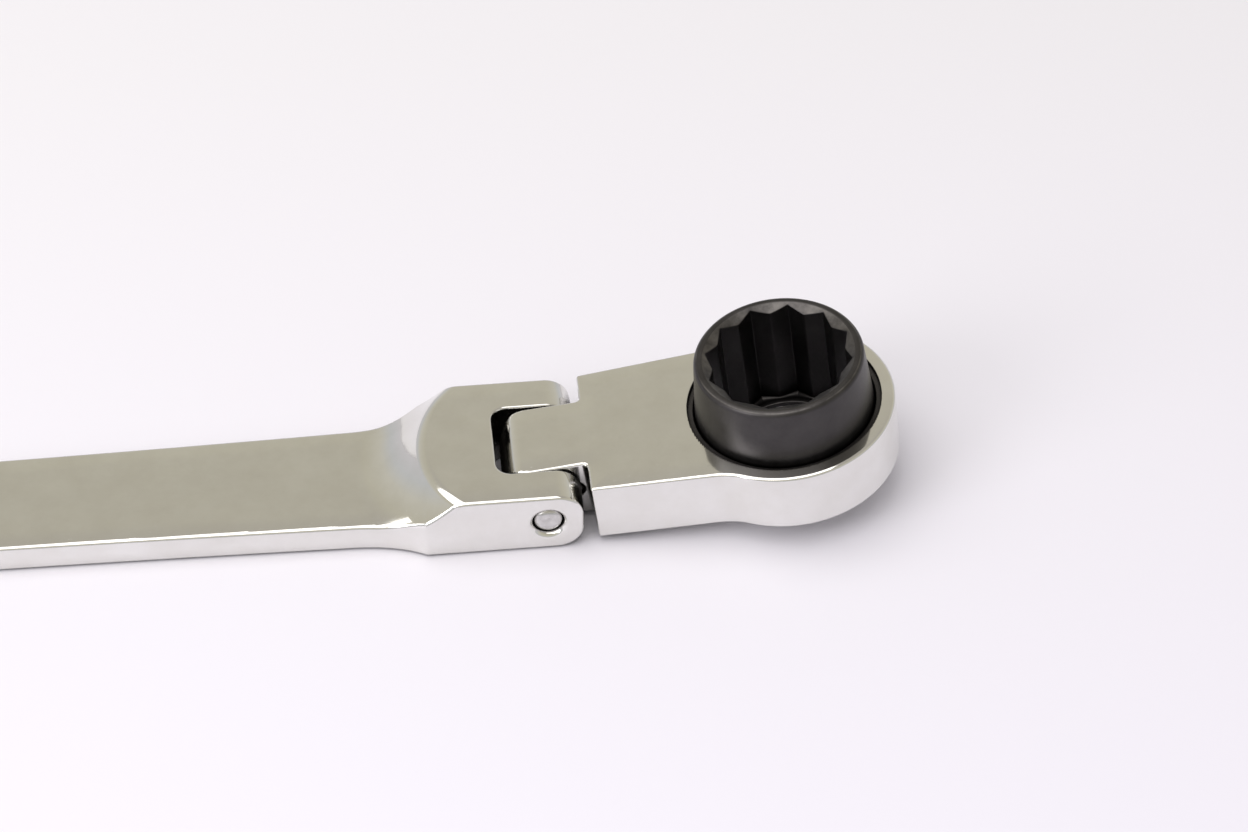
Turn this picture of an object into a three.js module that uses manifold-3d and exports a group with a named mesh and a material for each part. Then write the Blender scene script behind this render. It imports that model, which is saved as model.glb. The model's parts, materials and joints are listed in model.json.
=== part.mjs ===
// Flex-head ratchet wrench: a flat chromed handle with a fork, a pear-shaped ratchet head that
// tilts in the fork, and a raised twelve-point drive socket turned by a pawl and fine teeth.
// Millimetres, +Z up, +X from the handle towards the head. The handle lies flat on Z = 0, and the
// origin is the middle of the whole tool's footprint.
import * as THREE from "three";
import { mergeVertices } from "three/addons/utils/BufferGeometryUtils.js";
import Module from "manifold-3d";

const wasm = await Module();
wasm.setup();
const { Manifold, Mesh } = wasm;
const DEG = Math.PI / 180;

// ---------------------------------------------------------------- driving dimensions
const WRENCH_SIZE = 21; // across the flats of the hexagon it turns
const HEAD_TILT = 7 * DEG; // the head rests a little raised from the handle's line
const FIT = 0.1; // radial play between a pin or shaft and its hole
const SKIN = 0.05; // play between parts that lie flat on each other
const CUT = 1; // how far a cutter runs past the face it opens

// Handle, measured from the flex pin's axis
const TAIL_REACH = 198;
const HANDLE_THICK = 5.2;
const TAIL_HALF = 10.5;
const WAIST_HALF = 9.6;
const SHANK_HALF = 11.4;
const SHANK_END = -33;
const HANG_HOLE_R = 4;

// Fork at the front of the handle
const FORK_THICK = 11.6;
const FORK_HALF = 14.2;
const FORK_BACK = -20;
const EAR_REACH = 5.9;
const EAR_CORNER_R = 4.5;
const SLOT_HALF = 7.7;
const SLOT_DEPTH = 7.9;
const SLOT_CORNER_R = 2.6;
const BOSS_R = 20.5; // the raised fork ends behind the pin in an arc of this radius,
const BOSS_FOOT_R = 31.2; // and its ramp comes down to the bar in an arc of this one
const BOSS_X = 0.5; // the middle of both arcs

// Flex pin and the friction set in the tongue
const PIN_R = 2.5;
const PIN_HALF = 13.9;
const PIN_SINK_R = 3.2;
const PIN_SINK_DEPTH = 0.7;
const FRICTION_X = 5.2;
const FRICTION_HOLE_R = 1.5;
const BALL_R = 1.4;

// Head, in its own frame: X from the pin's axis towards the socket, Z = 0 at mid-thickness
const HEAD_HALF_THICK = 5.7;
const RING_X = 41.2;
const RING_R = 18.4;
const SHOULDER_X = 7.7;
const SHOULDER_HALF = 13.6;
const NECK_GROWTH = 0.061; // how much the neck's half-width grows for each millimetre along X
const NECK_FILLET_R = 12;
const TONGUE_HALF = 7.45;
const TONGUE_REAR_R = 6.9; // the tongue's rear, seen from the side, about the pin
const TONGUE_PLAN_R = 5.5; // its rear corners, seen from above
const BORE_R = 16;
const LIP_R = 13.6;
const LIP_TOP = -3.9;
const GROOVE = { r: 16.7, low: 4.2, high: 5.2 };
const SNAP_GAP_TURN = 75 * DEG; // where the gap of the snap ring in that groove points

// Drive socket and its teeth
const TEETH = 72;
const TOOTH_TIP_R = 15.75;
const TOOTH_ROOT_R = 14.95;
const TEETH_LOW = -3.2;
const TEETH_HIGH = 2.6;
const JOURNAL_R = 13.4;
const JOURNAL_LOW = -5.5;
const SOCKET_R = 14; // at the top of the barrel, which narrows upwards
const SOCKET_FOOT_R = 14.85;
const SOCKET_FOOT_TOP = 5;
const SOCKET_TOP = 16;
const SOCKET_EDGE = 0.9;
const STOP_R = 9.4; // a lip inside the foot, so that the nut can't fall through
const STOP_TOP = -4.3;
const MOUTH_R = 12.6;
const MOUTH_SLOPE = 30 * DEG; // the mouth's bevel, from the flat of the rim

// Pawl, its pin, and the pocket in the neck
const PAWL_X = 21.4;
const PAWL_ROCK = 4.5 * DEG; // either way from the pawl's middle position
const PAWL_FRONT_R = 16.3; // from the socket's axis: the front between the two toothed wings
const PAWL_BACK_R = 18.4;
const PAWL_PIN_R = 1.2;
const PAWL_LOW = -3.1;
const PAWL_HIGH = 2.5;
const POCKET_TOP = 2.9;

// Cover plate under the neck, and the reversing lever through it
const PLATE_LOW = -4.7;
const PLATE_HIGH = -3.3;
const PLATE_NOSE_R = 15.2;
const LEVER_X = 14;
const LEVER_THROW = 30 * DEG; // either way from pointing straight at the socket
const SHAFT_R = 3.2;
const SHAFT_TOP = 2.6;
const CLIP_ROOM_R = 4.45; // the counterbore that the lever's clip turns in
const CLIP_ROOM_TOP = -2.3;
const PLUNGER_Z = -0.3;
const PLUNGER_BORE_R = 1.1;
const SCREW_X = 12.4;
const SCREW_Y = 6.6;
const SCREW_R = 1.2;
const SCREW_HEAD_R = 2.1;

const PIN_Z = FORK_THICK / 2;
const HEAD_REACH = (RING_X + RING_R) * Math.cos(HEAD_TILT) + HEAD_HALF_THICK * Math.sin(HEAD_TILT);
const PIN_X = (TAIL_REACH - HEAD_REACH) / 2; // puts the origin at the middle of the tool's length

// ---------------------------------------------------------------- shape helpers

// A three.js geometry as a solid that can be joined and cut.
function solid(geometry) {
  const bare = geometry.clone();
  for (const name of Object.keys(bare.attributes)) {
    if (name !== "position") bare.deleteAttribute(name);
  }
  const merged = mergeVertices(bare, 1e-4);
  return new Manifold(
    new Mesh({
      numProp: 3,
      vertProperties: merged.attributes.position.array,
      triVerts: new Uint32Array(merged.index.array),
    }),
  );
}

// The solid's triangles as a three.js geometry again.
function geometryOf(body) {
  const mesh = body.getMesh();
  const indexed = new THREE.BufferGeometry();
  indexed.setAttribute("position", new THREE.BufferAttribute(mesh.vertProperties, mesh.numProp));
  indexed.setIndex(new THREE.BufferAttribute(mesh.triVerts, 1));
  const flat = indexed.toNonIndexed();
  flat.computeVertexNormals();
  return flat;
}

// A plan outline raised from z = low to z = high.
function prism(shape, low, high, segments = 16) {
  const geometry = new THREE.ExtrudeGeometry(shape, {
    depth: high - low,
    bevelEnabled: false,
    curveSegments: segments,
  });
  return solid(geometry.translate(0, 0, low));
}

// An outline in the X-Z plane, carried across to both sides of Y = 0.
function sideways(shape, half, segments = 8) {
  const geometry = new THREE.ExtrudeGeometry(shape, {
    depth: 2 * half,
    bevelEnabled: false,
    curveSegments: segments,
  });
  return solid(geometry.rotateX(Math.PI / 2).translate(0, half, 0));
}

// A solid of revolution about Z. The [radius, height] points run up its outside.
function turned(points, segments = 48) {
  const profile = points.map(([r, z]) => new THREE.Vector2(r, z));
  return solid(new THREE.LatheGeometry(profile, segments).rotateX(Math.PI / 2));
}

function drum(radius, low, high, segments = 48, x = 0, y = 0) {
  const height = high - low;
  const geometry = new THREE.CylinderGeometry(radius, radius, height, segments);
  return solid(geometry.rotateX(Math.PI / 2).translate(x, y, low + height / 2));
}

// A flat ring about Z with a square section.
function ring(inner, outer, low, high, segments = 64) {
  return turned([[inner, low], [outer, low], [outer, high], [inner, high], [inner, low]], segments);
}

// A round hole or rod along Y.
function crossRod(radius, half, x = 0, z = 0, segments = 32) {
  return solid(new THREE.CylinderGeometry(radius, radius, 2 * half, segments).translate(x, 0, z));
}

// A rectangle whose corners at its low-X end are rounded.
function roundedStart(x0, x1, half, radius) {
  const shape = new THREE.Shape();
  shape.moveTo(x1, -half);
  shape.lineTo(x1, half);
  shape.lineTo(x0 + radius, half);
  shape.absarc(x0 + radius, half - radius, radius, 90 * DEG, 180 * DEG, false);
  shape.absarc(x0 + radius, radius - half, radius, 180 * DEG, 270 * DEG, false);
  shape.closePath();
  return shape;
}

function polygon(points) {
  return new THREE.Shape(points.map(([x, y]) => new THREE.Vector2(x, y)));
}

function polar(radius, angle, x = 0) {
  return [x + radius * Math.cos(angle), radius * Math.sin(angle)];
}

function arcPoints(radius, from, to, steps, x = 0) {
  const points = [];
  for (let i = 0; i <= steps; i++) points.push(polar(radius, from + ((to - from) * i) / steps, x));
  return points;
}

class Helix extends THREE.Curve {
  constructor(radius, length, turns) {
    super();
    Object.assign(this, { radius, length, turns });
  }
  getPoint(t, target = new THREE.Vector3()) {
    const angle = 2 * Math.PI * this.turns * t;
    return target.set(
      this.radius * Math.cos(angle),
      this.radius * Math.sin(angle),
      this.length * (t - 0.5),
    );
  }
}

// A coil spring of round wire, centred on the origin and standing along Z.
function coil(radius, wire, length, turns) {
  const section = new THREE.Shape().absarc(0, 0, wire, 0, 2 * Math.PI, false);
  return new THREE.ExtrudeGeometry(section, {
    steps: Math.round(12 * turns),
    curveSegments: 3,
    extrudePath: new Helix(radius, length - 2 * wire, turns),
  });
}

// ---------------------------------------------------------------- materials
function finish(color, roughness, metalness) {
  return new THREE.MeshStandardMaterial({ color, roughness, metalness });
}
const chrome = finish(0xc6c5bf, 0.12, 1);
const blackOxide = finish(0x2c2a2a, 0.42, 0.7);
const steel = finish(0x9a9a98, 0.3, 1);
const bronze = finish(0xa98456, 0.35, 1);
const rubber = finish(0x161616, 0.8, 0);

function part(name, body, material) {
  const mesh = new THREE.Mesh(body.isBufferGeometry ? body : geometryOf(body), material);
  mesh.name = name;
  return mesh;
}

// ---------------------------------------------------------------- handle and flex joint

// The handle seen from above: a waisted bar with a round tail that flares out into the fork.
function handleOutline() {
  const tailX = TAIL_HALF - TAIL_REACH;
  const waistX = (tailX + SHANK_END) / 2;
  const flareX = -25;
  const shape = new THREE.Shape();
  shape.moveTo(EAR_REACH, -FORK_HALF);
  shape.lineTo(EAR_REACH, FORK_HALF);
  shape.lineTo(FORK_BACK, FORK_HALF);
  shape.quadraticCurveTo(flareX, SHANK_HALF, SHANK_END, SHANK_HALF);
  shape.quadraticCurveTo(waistX, WAIST_HALF, tailX, TAIL_HALF);
  shape.absarc(tailX, 0, TAIL_HALF, 90 * DEG, 270 * DEG, false);
  shape.quadraticCurveTo(waistX, -WAIST_HALF, SHANK_END, -SHANK_HALF);
  shape.quadraticCurveTo(flareX, -SHANK_HALF, FORK_BACK, -FORK_HALF);
  shape.closePath();
  return shape;
}

// The handle seen from the side: full fork height with the ears' tips rounded.
function earProfile() {
  const shape = new THREE.Shape();
  const reach = EAR_REACH - EAR_CORNER_R;
  shape.moveTo(-TAIL_REACH - CUT, 0);
  shape.lineTo(reach, 0);
  shape.absarc(reach, EAR_CORNER_R, EAR_CORNER_R, 270 * DEG, 360 * DEG, false);
  shape.absarc(reach, FORK_THICK - EAR_CORNER_R, EAR_CORNER_R, 0, 90 * DEG, false);
  shape.lineTo(-TAIL_REACH - CUT, FORK_THICK);
  shape.closePath();
  return shape;
}

// What is forged away above the bar: a hollow ramp that sweeps round the back of the fork.
function rampCutter() {
  const drop = FORK_THICK - HANDLE_THICK;
  const run = BOSS_FOOT_R - BOSS_R;
  const top = FORK_THICK + CUT;
  const ramp = [];
  const steps = 10;
  for (let i = 0; i <= steps; i++) {
    const left = 1 - i / steps;
    ramp.push([BOSS_FOOT_R - run * left, HANDLE_THICK + drop * left * left]);
  }
  const far = TAIL_REACH + CUT;
  const loop = [...ramp, [far, HANDLE_THICK], [far, top], [BOSS_R, top], ramp[0]];
  const profile = loop.map(([r, z]) => new THREE.Vector2(r, z));
  return solid(new THREE.LatheGeometry(profile, 128).rotateX(Math.PI / 2).translate(BOSS_X, 0, 0));
}

function countersink(side) {
  const outerY = FORK_HALF + CUT;
  const slope = (PIN_SINK_R - PIN_R) / PIN_SINK_DEPTH;
  const geometry = new THREE.CylinderGeometry(
    PIN_SINK_R + slope * CUT,
    PIN_R,
    outerY - FORK_HALF + PIN_SINK_DEPTH,
    32,
  );
  geometry.translate(0, outerY - (CUT + PIN_SINK_DEPTH) / 2, PIN_Z);
  return solid(side > 0 ? geometry : geometry.rotateZ(Math.PI));
}

function handleBody() {
  const slot = roundedStart(-SLOT_DEPTH, EAR_REACH + CUT, SLOT_HALF, SLOT_CORNER_R);
  return prism(handleOutline(), 0, FORK_THICK, 20)
    .intersect(sideways(earProfile(), FORK_HALF + CUT))
    .subtract(rampCutter())
    .subtract(prism(slot, -CUT, FORK_THICK + CUT, 8))
    .subtract(crossRod(PIN_R + FIT, FORK_HALF + CUT, 0, PIN_Z))
    .subtract(countersink(1))
    .subtract(countersink(-1))
    .subtract(drum(HANG_HOLE_R, -CUT, HANDLE_THICK + CUT, 40, TAIL_HALF - TAIL_REACH));
}

// A straight pin with chamfered ends and a centre mark in each.
function flexPin() {
  const chamfer = 0.8;
  const mark = 0.7;
  const profile = [
    [0, mark - PIN_HALF],
    [mark, -PIN_HALF],
    [PIN_R - chamfer, -PIN_HALF],
    [PIN_R, chamfer - PIN_HALF],
    [PIN_R, PIN_HALF - chamfer],
    [PIN_R - chamfer, PIN_HALF],
    [mark, PIN_HALF],
    [0, PIN_HALF - mark],
  ];
  return turned(profile, 32);
}

// ---------------------------------------------------------------- head casting

// The head seen from above: tongue, shoulders, a neck that widens, and the ring it runs into.
function headOutline() {
  const slant = Math.hypot(1, NECK_GROWTH);
  const reach = RING_R + NECK_FILLET_R;
  const lift = SHOULDER_HALF - SHOULDER_X * NECK_GROWTH + NECK_FILLET_R * slant;
  const b = lift * NECK_GROWTH - RING_X;
  const c = RING_X ** 2 + lift ** 2 - reach ** 2;
  const filletX = (-b - Math.sqrt(b * b - slant ** 2 * c)) / slant ** 2;
  const filletY = lift + NECK_GROWTH * filletX;
  const lineSide = Math.atan2(-1, NECK_GROWTH); // from the fillet's centre to where it leaves the neck
  const ringSide = Math.atan2(-filletY, RING_X - filletX);
  const ringFrom = Math.atan2(filletY, filletX - RING_X);

  const shape = new THREE.Shape();
  shape.moveTo(SHOULDER_X, -SHOULDER_HALF);
  shape.absarc(filletX, -filletY, NECK_FILLET_R, -lineSide, -ringSide, true);
  shape.absarc(RING_X, 0, RING_R, -ringFrom, ringFrom, false);
  shape.absarc(filletX, filletY, NECK_FILLET_R, ringSide, lineSide, true);
  shape.lineTo(SHOULDER_X, SHOULDER_HALF);
  shape.lineTo(SHOULDER_X, TONGUE_HALF);
  const cornerX = TONGUE_PLAN_R - TONGUE_REAR_R;
  const cornerY = TONGUE_HALF - TONGUE_PLAN_R;
  shape.absarc(cornerX, cornerY, TONGUE_PLAN_R, 90 * DEG, 180 * DEG, false);
  shape.absarc(cornerX, -cornerY, TONGUE_PLAN_R, 180 * DEG, 270 * DEG, false);
  shape.lineTo(SHOULDER_X, -TONGUE_HALF);
  shape.closePath();
  return shape;
}

// The pocket for the pawl, seen from above. It opens into the socket's bore.
function pocketOutline() {
  const upper = [[16, 4.4], [18.6, 7.2], [21.6, 10.4], [23.6, 11.9], [27.4, 11.9], [31, 9.5]];
  const lower = upper.map(([x, y]) => [x, -y]);
  return polygon([...upper, ...lower.reverse()].reverse());
}

// The cover plate, seen from above, with its nose following the bore. Grow makes its recess.
function plateOutline(grow = 0) {
  const noseR = PLATE_NOSE_R - grow;
  const back = 9.9 - grow;
  const edge = Math.PI - 40 * DEG;
  const nose = arcPoints(noseR, edge, 2 * Math.PI - edge, 16, RING_X);
  const lower = [[28.2, -12.6 - grow], [22.6, -12.6 - grow], [11.6, -9.6 - grow], [back, -8.2 - grow]];
  const upper = lower.map(([x, y]) => [x, -y]).reverse();
  return polygon([...nose, ...lower, ...upper].reverse());
}

// The head seen from the side. The tongue's rear is round about the pin, and below the pin it is
// a full quarter round, which clears the bench while the head rests tilted.
function headProfile() {
  const half = HEAD_HALF_THICK;
  const end = RING_X + RING_R + CUT;
  const lift = Math.asin(half / TONGUE_REAR_R);
  const shape = new THREE.Shape();
  shape.moveTo(end, -half);
  shape.lineTo(end, half);
  shape.absarc(0, 0, TONGUE_REAR_R, Math.PI - lift, Math.PI, false);
  shape.absarc(half - TONGUE_REAR_R, 0, half, 180 * DEG, 270 * DEG, false);
  shape.closePath();
  return shape;
}

function headBody() {
  const low = -HEAD_HALF_THICK - CUT;
  const high = HEAD_HALF_THICK + CUT;
  const half = RING_R + CUT;
  let body = prism(headOutline(), -HEAD_HALF_THICK, HEAD_HALF_THICK, 40)
    .intersect(sideways(headProfile(), half))
    .subtract(crossRod(PIN_R + FIT, half))
    .subtract(crossRod(FRICTION_HOLE_R, half, FRICTION_X, 0, 20))
    .subtract(drum(BORE_R, LIP_TOP, high, 96, RING_X))
    .subtract(drum(GROOVE.r, GROOVE.low, GROOVE.high, 96, RING_X))
    .subtract(drum(LIP_R, low, 0, 72, RING_X))
    .subtract(prism(pocketOutline(), PLATE_HIGH - CUT, POCKET_TOP))
    .subtract(prism(plateOutline(FIT), low, PLATE_HIGH + SKIN))
    .subtract(drum(SHAFT_R + 0.15, low, POCKET_TOP, 40, LEVER_X))
    .subtract(drum(CLIP_ROOM_R, PLATE_HIGH - CUT, CLIP_ROOM_TOP, 40, LEVER_X))
    .subtract(drum(PAWL_PIN_R + FIT, 0, 4.4, 24, PAWL_X));
  for (const y of [-SCREW_Y, SCREW_Y]) {
    body = body.subtract(drum(SCREW_R + FIT, low, 1.5, 24, SCREW_X, y));
  }
  return body;
}

// ---------------------------------------------------------------- drive socket

// Ratchet teeth as an outline about the origin, grown outwards for the pawl's clearance.
function toothOutline(grow = 0) {
  const pitch = (2 * Math.PI) / TEETH;
  const tip = (0.35 + 0.9 * grow) / TOOTH_TIP_R;
  const root = Math.max(0.02, 0.3 - 0.9 * grow) / TOOTH_ROOT_R;
  const points = [];
  for (let i = 0; i < TEETH; i++) {
    const middle = i * pitch;
    points.push(polar(TOOTH_TIP_R + grow, middle - tip / 2));
    points.push(polar(TOOTH_TIP_R + grow, middle + tip / 2));
    points.push(polar(TOOTH_ROOT_R + grow, middle + pitch / 2 - root / 2));
    points.push(polar(TOOTH_ROOT_R + grow, middle + pitch / 2 + root / 2));
  }
  return polygon(points);
}

// Two hexagons a twelfth of a turn apart, as one star.
function twelvePoint() {
  const corner = WRENCH_SIZE / 2 / Math.cos(30 * DEG);
  const notch = WRENCH_SIZE / 2 / Math.cos(15 * DEG);
  const points = [];
  for (let i = 0; i < 24; i++) points.push(polar(i % 2 ? corner : notch, i * 15 * DEG));
  return polygon(points);
}

function driveSocket() {
  const barrel = turned([
    [0, TEETH_HIGH - CUT],
    [SOCKET_FOOT_R, TEETH_HIGH - CUT],
    [SOCKET_FOOT_R, SOCKET_FOOT_TOP],
    [SOCKET_R, SOCKET_TOP - SOCKET_EDGE],
    [SOCKET_R - SOCKET_EDGE, SOCKET_TOP],
    [0, SOCKET_TOP],
  ], 72);
  const mouth = turned([
    [0, SOCKET_TOP - MOUTH_R * Math.tan(MOUTH_SLOPE)],
    [MOUTH_R, SOCKET_TOP],
    [MOUTH_R, SOCKET_TOP + CUT],
    [0, SOCKET_TOP + CUT],
  ], 72);
  return drum(JOURNAL_R, JOURNAL_LOW, 0, 72)
    .add(prism(toothOutline(), TEETH_LOW, TEETH_HIGH))
    .add(barrel)
    .subtract(drum(STOP_R, JOURNAL_LOW - CUT, 0, 72))
    .subtract(prism(twelvePoint(), STOP_TOP, SOCKET_TOP + CUT))
    .subtract(mouth);
}

// An open ring that springs into the groove above the teeth.
function snapRing() {
  const gap = 11 * DEG;
  const wedge = polygon([[0, 0], polar(30, -gap), polar(30, gap)]);
  return ring(SOCKET_FOOT_R + 0.2, GROOVE.r - 0.15, GROOVE.low + 0.1, GROOVE.high - 0.1, 72)
    .subtract(prism(wedge, GROOVE.low - CUT, GROOVE.high + CUT));
}

// ---------------------------------------------------------------- pawl and reversing set

// One wing of the pawl in its engaged position, about the pawl's pin. Side is +1 or -1.
function pawlWing(side) {
  const tip = Math.PI - 36 * DEG;
  const heel = Math.PI - 21 * DEG;
  const root = Math.PI - 13 * DEG;
  const points = [
    ...arcPoints(TOOTH_ROOT_R, tip, heel, 8, RING_X),
    ...arcPoints(PAWL_FRONT_R, heel, root, 2, RING_X),
    ...arcPoints(PAWL_BACK_R, root, tip, 8, RING_X),
  ].map(([x, y]) => [x, side * y]);
  const wing = prism(polygon(side > 0 ? points.reverse() : points), PAWL_LOW, PAWL_HIGH);
  const clearance = new THREE.ExtrudeGeometry(toothOutline(0.12), {
    depth: 3 * PAWL_HIGH,
    bevelEnabled: false,
  });
  clearance.translate(RING_X, 0, PAWL_LOW - CUT);
  const engaged = wing.subtract(solid(clearance));
  const settled = geometryOf(engaged);
  settled.translate(-PAWL_X, 0, 0).rotateZ(side * PAWL_ROCK);
  return solid(settled);
}

// The pawl about its own pin, in its middle position, with the plunger's hollow in its back.
function pawlBody() {
  const front = arcPoints(PAWL_FRONT_R, Math.PI - 18 * DEG, Math.PI + 18 * DEG, 10, RING_X);
  const hollow = arcPoints(5.05, -38 * DEG, 38 * DEG, 8, LEVER_X);
  const wingRoot = polar(PAWL_BACK_R - 0.3, Math.PI - 24 * DEG, RING_X);
  const loop = [...front, [wingRoot[0], -wingRoot[1]], ...hollow, wingRoot];
  const middle = prism(polygon(loop.map(([x, y]) => [x - PAWL_X, y]).reverse()), PAWL_LOW, PAWL_HIGH);
  return middle
    .add(pawlWing(1))
    .add(pawlWing(-1))
    .subtract(drum(PAWL_PIN_R + FIT, PAWL_LOW - CUT, PAWL_HIGH + CUT, 24));
}

function neckPlate() {
  let body = prism(plateOutline(), PLATE_LOW, PLATE_HIGH)
    .subtract(drum(SHAFT_R + 0.35, PLATE_LOW - CUT, PLATE_HIGH + CUT, 40, LEVER_X))
    .subtract(drum(PAWL_PIN_R + FIT, PLATE_LOW + 0.5, PLATE_HIGH + CUT, 24, PAWL_X));
  for (const y of [-SCREW_Y, SCREW_Y]) {
    const sink = screwShape(SCREW_HEAD_R + FIT, SCREW_R + FIT, PLATE_LOW - CUT, PLATE_HIGH + CUT);
    body = body.subtract(solid(sink.translate(SCREW_X, y, 0)));
  }
  return body;
}

// A countersunk head and shank about Z, with the head's face on the plate's underside.
function screwShape(headR, shankR, low, high) {
  const profile = [
    [0, low],
    [headR, low],
    [headR, PLATE_LOW],
    [shankR, PLATE_LOW + headR - shankR],
    [shankR, high],
    [0, high],
  ].filter((point, i, all) => i === 0 || point[0] !== all[i - 1][0] || point[1] !== all[i - 1][1]);
  const points = profile.map(([r, z]) => new THREE.Vector2(r, z));
  return new THREE.LatheGeometry(points, 24).rotateX(Math.PI / 2);
}

function plateScrew() {
  const recess = polygon(arcPoints(1, 0, 300 * DEG, 5));
  const depth = 0.9;
  return solid(screwShape(SCREW_HEAD_R, SCREW_R, PLATE_LOW, 1.2))
    .subtract(prism(recess, PLATE_LOW - CUT, PLATE_LOW + depth));
}

// The lever about its shaft, pointing along +X: thumb tab below the plate, shaft above it.
function reversingLever() {
  const top = PLATE_LOW - 0.1;
  const hubR = 4.2;
  const tab = new THREE.Shape();
  tab.moveTo(0, -3.2);
  tab.lineTo(8.8, -1.9);
  tab.absarc(8.8, 0, 1.9, -90 * DEG, 90 * DEG, false);
  tab.lineTo(0, 3.2);
  tab.closePath();
  const sealGroove = ring(SHAFT_R - 0.6, SHAFT_R + CUT, -4.55, -3.55, 40);
  const clipGroove = ring(SHAFT_R - 0.6, SHAFT_R + CUT, -3.2, -2.45, 40);
  const bore = new THREE.CylinderGeometry(PLUNGER_BORE_R, PLUNGER_BORE_R, SHAFT_R + 2.2 + CUT, 20);
  bore.rotateZ(Math.PI / 2).translate((SHAFT_R + CUT - 2.2) / 2, 0, PLUNGER_Z);
  return drum(hubR, -6.9, top, 40)
    .add(prism(tab, -6.9, top, 10))
    .add(drum(SHAFT_R, top - CUT, SHAFT_TOP, 40))
    .subtract(sealGroove)
    .subtract(clipGroove)
    .subtract(solid(bore));
}

// A round-nosed plunger along +X, measured from the lever's axis.
function plunger() {
  const radius = PLUNGER_BORE_R - 0.15;
  const tip = 4.7;
  const nose = arcPoints(radius, 0, 90 * DEG, 5).map(([r, z]) => [r, tip - radius + z]);
  const profile = [[0, 0.6], [radius, 0.6], ...nose.slice(0, -1), [0, tip]];
  const points = profile.map(([r, z]) => new THREE.Vector2(r, z));
  return new THREE.LatheGeometry(points, 20).rotateZ(-Math.PI / 2);
}

// A retaining clip open on one side, for the lever's shaft.
function shaftClip() {
  const mouth = polygon([[0, -1.9], [6, -1.9], [6, 1.9], [0, 1.9]]);
  return ring(SHAFT_R - 0.5, 4.2, -3.1, -2.6, 40).subtract(prism(mouth, -4, -2));
}

// ---------------------------------------------------------------- assembly
const handleGroup = new THREE.Group();
const pin = part("flex_pin", flexPin(), steel);
pin.rotation.x = Math.PI / 2;
pin.position.z = PIN_Z;
handleGroup.add(part("handle", handleBody(), chrome), pin);

const headGroup = new THREE.Group();
headGroup.position.z = PIN_Z;
headGroup.rotation.y = -HEAD_TILT;
headGroup.add(part("head_body", headBody(), chrome));

const ballY = SLOT_HALF - BALL_R - SKIN;
for (const [side, name] of [[1, "friction_ball_left"], [-1, "friction_ball_right"]]) {
  const ball = part(name, new THREE.SphereGeometry(BALL_R, 20, 12), steel);
  ball.position.set(FRICTION_X, side * ballY, 0);
  headGroup.add(ball);
}
const frictionSpring = part("friction_spring", coil(1, 0.22, 2 * (ballY - BALL_R) - 0.3, 9), steel);
frictionSpring.position.x = FRICTION_X;
frictionSpring.rotation.x = Math.PI / 2;
headGroup.add(frictionSpring);

const ringGroup = new THREE.Group();
ringGroup.position.x = RING_X;
const clip = part("gear_snap_ring", snapRing(), blackOxide);
clip.rotation.z = SNAP_GAP_TURN;
ringGroup.add(
  part("drive_socket", driveSocket(), blackOxide),
  part("gear_cover_ring", ring(SOCKET_FOOT_R + 0.15, BORE_R - 0.15, 2.8, 4.1, 72), blackOxide),
  part("gear_thrust_washer", ring(LIP_R + 0.15, PLATE_NOSE_R - 0.3, -3.85, -3.3, 48), bronze),
  clip,
);
headGroup.add(ringGroup);

const pawl = part("pawl", pawlBody(), steel);
pawl.position.x = PAWL_X;
pawl.rotation.z = -PAWL_ROCK;
const pawlPin = part("pawl_pin", drum(PAWL_PIN_R, -4.1, 4.25, 24), steel);
pawlPin.position.x = PAWL_X;
headGroup.add(pawl, pawlPin, part("neck_plate", neckPlate(), steel));

for (const [side, name] of [[1, "plate_screw_left"], [-1, "plate_screw_right"]]) {
  const screw = part(name, plateScrew(), steel);
  screw.position.set(SCREW_X, side * SCREW_Y, 0);
  headGroup.add(screw);
}

const leverGroup = new THREE.Group();
leverGroup.position.x = LEVER_X;
leverGroup.rotation.z = LEVER_THROW;
const sealShape = new THREE.TorusGeometry(SHAFT_R - 0.16, 0.36, 10, 32);
const seal = part("lever_seal", sealShape, rubber);
seal.position.z = -4.05;
const pawlPlunger = part("pawl_plunger", plunger(), steel);
pawlPlunger.position.z = PLUNGER_Z;
const pawlSpring = part("pawl_spring", coil(0.75, 0.16, 2.5, 5), steel);
pawlSpring.rotation.y = Math.PI / 2;
pawlSpring.position.set(-0.85, 0, PLUNGER_Z);
leverGroup.add(part("reversing_lever", reversingLever(), steel), seal, pawlPlunger, pawlSpring);
leverGroup.add(part("lever_clip", shaftClip(), steel));
headGroup.add(leverGroup);

const wrench = new THREE.Group();
wrench.position.x = PIN_X;
wrench.add(handleGroup, headGroup);

const root = new THREE.Group();
root.add(wrench);

export default root;
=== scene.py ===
"""Flex-head ratchet wrench: high-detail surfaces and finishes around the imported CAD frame."""
import json
import math

import bpy
import numpy as np
from mathutils import Matrix, Vector


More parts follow.
